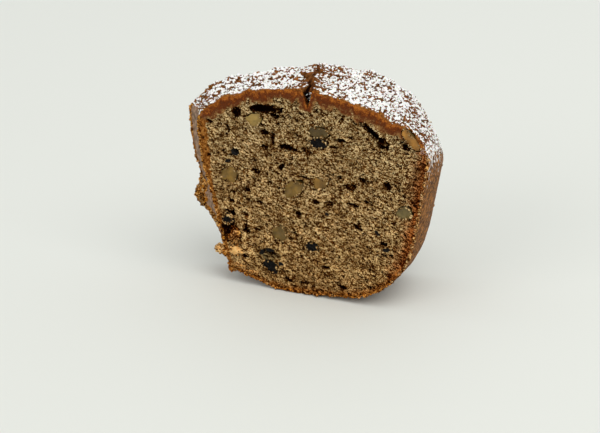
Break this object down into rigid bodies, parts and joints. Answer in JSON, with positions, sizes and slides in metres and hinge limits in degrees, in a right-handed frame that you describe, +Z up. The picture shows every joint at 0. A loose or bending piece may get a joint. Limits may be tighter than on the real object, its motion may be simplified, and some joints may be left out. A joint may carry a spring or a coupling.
{
  "type": "slice of quick bread",
  "caption": "Thick wedge slice of a tube-pan nut and raisin quick bread, standing with its sugared, cracked dome up and its cut crumb face to the front.",
  "frame": {"origin": "centre of the bounding box in plan, on the surface that the slice rests on", "axes": "+Z up, +X along the front cut from the tube side to the pan side of the loaf, -Y out of the front cut"},
  "size_m": [0.1062, 0.0424, 0.0852],
  "materials": {
    "crumb": "open, moist brown crumb with fine pores, inside a thin red-brown baked crust",
    "walnut": "satin tan to olive-brown cut nut",
    "raisin": "moist, near-black wrinkled fruit",
    "sugar": "fine white powdered sugar dusted over the dome"
  },
  "bodies": {
    "root": {"slice": "crumb", "walnut_1": "walnut", "walnut_2": "walnut", "walnut_3": "walnut", "walnut_4": "walnut", "walnut_5": "walnut", "walnut_6": "walnut", "walnut_7": "walnut", "walnut_8": "walnut", "raisin_1": "raisin", "raisin_2": "raisin", "raisin_3": "raisin", "raisin_4": "raisin"}
  },
  "joints": []
}
